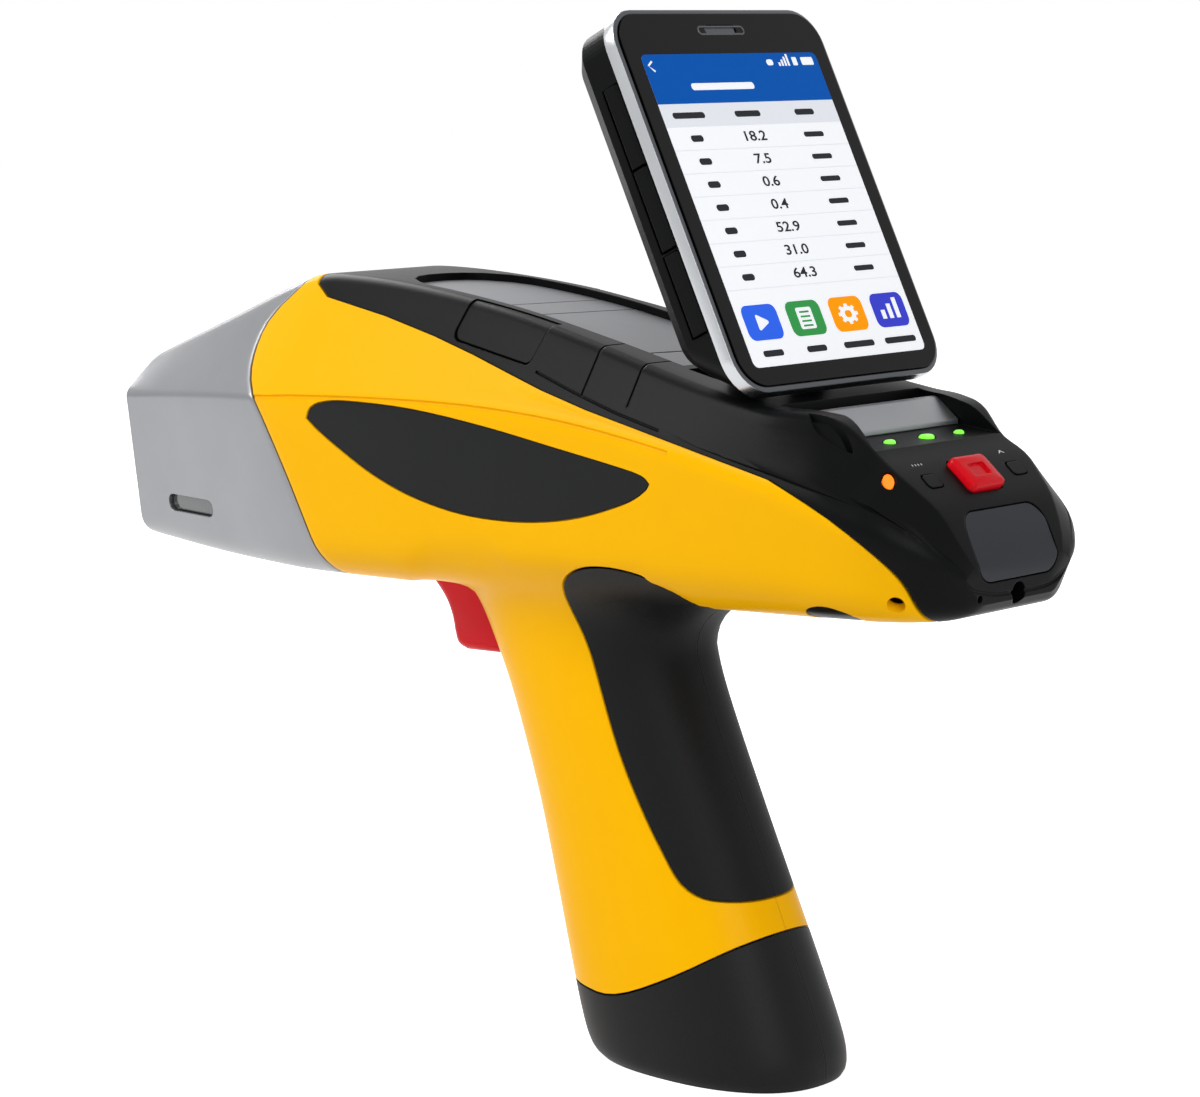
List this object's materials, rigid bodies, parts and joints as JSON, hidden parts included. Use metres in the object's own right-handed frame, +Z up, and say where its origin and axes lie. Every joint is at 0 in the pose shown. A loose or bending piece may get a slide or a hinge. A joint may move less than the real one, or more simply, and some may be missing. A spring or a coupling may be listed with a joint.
{
  "type": "handheld xrf analyzer",
  "caption": "Pistol-shaped X-ray fluorescence analyzer with moulded shells, folding display, trigger, handle battery and foot to stand on.",
  "frame": {"origin": "centre of the overall box, on the flat under the foot", "axes": "+Z up from the foot, -X out of the measuring nose, +X towards the user, -Y the user's left side"},
  "size_m": [0.262, 0.0756, 0.2476],
  "materials": {
    "silver_plastic": "satin metallic paint on plastic",
    "yellow_plastic": "satin, fine grain",
    "black_plastic": "fine grain",
    "side_key_plastic": "matte",
    "foot_plastic": "fine grain",
    "grip_rubber": "matte, fine grain",
    "badge_plate": "satin",
    "flap_rubber": "matte",
    "inlay_grey": "satin",
    "dark_plastic": "matte",
    "film": "thin translucent film",
    "light_pipe": "clear moulded",
    "green_light": "lit",
    "orange_light": "lit",
    "dark_lens": "polished",
    "red_plastic": "satin",
    "satin_aluminium": "satin anodised",
    "frame_aluminium": "satin anodised",
    "steel": "plain",
    "cast_aluminium": "as cast",
    "supply_case": "plain case, dense as its filled inside",
    "tube_case": "plain case",
    "detector_case": "plain case",
    "motor_case": "plain case",
    "filter_brass": "machined",
    "circuit_board": "coated board",
    "socket_metal": "pressed",
    "contact_copper": "plated block",
    "battery_case": "plain case, dense as its cells",
    "display_glass": "black glass",
    "screen": "lit panel"
  },
  "bodies": {
    "housing": {"nose_cover": "silver_plastic", "window_plate": "dark_plastic", "window_film": "film", "warning_lights": "light_pipe", "left_shell": "yellow_plastic", "right_shell": "yellow_plastic", "left_badge": "badge_plate", "right_badge": "badge_plate", "top_cover": "black_plastic", "deck_inlay": "inlay_grey", "hinge_well_plate": "dark_plastic", "hinge_bar": "satin_aluminium", "hinge_bracket": "steel", "hinge_pin": "steel", "status_lights": "green_light", "side_lights": "orange_light", "left_grip": "grip_rubber", "right_grip": "grip_rubber", "chassis": "cast_aluminium", "nose_block": "cast_aluminium", "xray_tube": "tube_case", "detector": "detector_case", "filter_motor": "motor_case", "high_voltage_supply": "supply_case", "main_board": "circuit_board", "heat_sink": "cast_aluminium", "control_board": "circuit_board", "port_board": "circuit_board", "power_jack": "dark_plastic", "battery_contacts": "contact_copper", "trigger_pin": "steel", "trigger_spring": "steel", "trigger_switch": "dark_plastic", "trigger_bracket": "dark_plastic", "data_sockets": "socket_metal", "underside_lens": "dark_lens", "shell_screws": "steel"},
    "display": {"display_back": "black_plastic", "display_frame": "frame_aluminium", "display_glass": "display_glass", "screen_panel": "screen", "display_board": "circuit_board", "display_battery": "battery_case", "earpiece": "side_key_plastic"},
    "trigger": {"trigger": "red_plastic"},
    "filter_wheel": {"filter_wheel": "filter_brass"},
    "power_button": {"power_button": "red_plastic"},
    "left_key": {"left_key": "black_plastic"},
    "right_key": {"right_key": "black_plastic"},
    "left_latch": {"left_latch": "black_plastic"},
    "right_latch": {"right_latch": "black_plastic"},
    "port_flap": {"port_flap": "flap_rubber"},
    "upper_side_key": {"upper_side_key": "side_key_plastic"},
    "middle_side_key": {"middle_side_key": "side_key_plastic"},
    "lower_side_key": {"lower_side_key": "side_key_plastic"},
    "battery": {"battery_pack": "battery_case", "left_foot": "foot_plastic", "right_foot": "foot_plastic"}
  },
  "joints": [
    {"name": "display_fold", "type": "hinge", "parent": "housing", "child": "display", "pos_m": [0.0626, 0, 0.15999], "axis": [0, -1, 0], "range_deg": [0, 40]},
    {"name": "trigger_pull", "type": "hinge", "parent": "housing", "child": "trigger", "pos_m": [-0.013, 0, 0.115], "axis": [0, -1, 0], "range_deg": [0, 7], "stiffness_Nm_per_rad": 2, "springref_deg": -2.86},
    {"name": "filter_spin", "type": "hinge", "parent": "housing", "child": "filter_wheel", "pos_m": [-0.1073, -0.00611, 0.1485], "axis": [1, 0, 0], "continuous": true},
    {"name": "power_press", "type": "slide", "parent": "housing", "child": "power_button", "axis": [-0.6396, 0, -0.7687], "range_m": [0, 0.0008], "stiffness_N_per_m": 1875, "springref_m": -0.00024},
    {"name": "left_key_press", "type": "slide", "parent": "housing", "child": "left_key", "axis": [-0.6396, 0, -0.7687], "range_m": [0, 0.0008], "stiffness_N_per_m": 1875, "springref_m": -0.00024},
    {"name": "right_key_press", "type": "slide", "parent": "housing", "child": "right_key", "axis": [-0.6396, 0, -0.7687], "range_m": [0, 0.0008], "stiffness_N_per_m": 1875, "springref_m": -0.00024},
    {"name": "left_latch_press", "type": "slide", "parent": "housing", "child": "left_latch", "axis": [0, 1, 0], "range_m": [0, 0.0012], "stiffness_N_per_m": 2500, "springref_m": -0.00036},
    {"name": "right_latch_press", "type": "slide", "parent": "housing", "child": "right_latch", "axis": [0, -1, 0], "range_m": [0, 0.0012], "stiffness_N_per_m": 2500, "springref_m": -0.00036},
    {"name": "flap_open", "type": "hinge", "parent": "housing", "child": "port_flap", "pos_m": [0.1309, 0, 0.1247], "axis": [0, 1, 0], "range_deg": [0, 100]},
    {"name": "upper_side_press", "type": "slide", "parent": "display", "child": "upper_side_key", "axis": [0, 1, 0], "range_m": [0, 0.0005], "stiffness_N_per_m": 6000, "springref_m": -0.00015},
    {"name": "middle_side_press", "type": "slide", "parent": "display", "child": "middle_side_key", "axis": [0, 1, 0], "range_m": [0, 0.0005], "stiffness_N_per_m": 6000, "springref_m": -0.00015},
    {"name": "lower_side_press", "type": "slide", "parent": "display", "child": "lower_side_key", "axis": [0, 1, 0], "range_m": [0, 0.0005], "stiffness_N_per_m": 6000, "springref_m": -0.00015},
    {"name": "battery_slide", "type": "slide", "parent": "housing", "child": "battery", "axis": [0.342, 0, -0.9397], "range_m": [0, 0.085]}
  ]
}
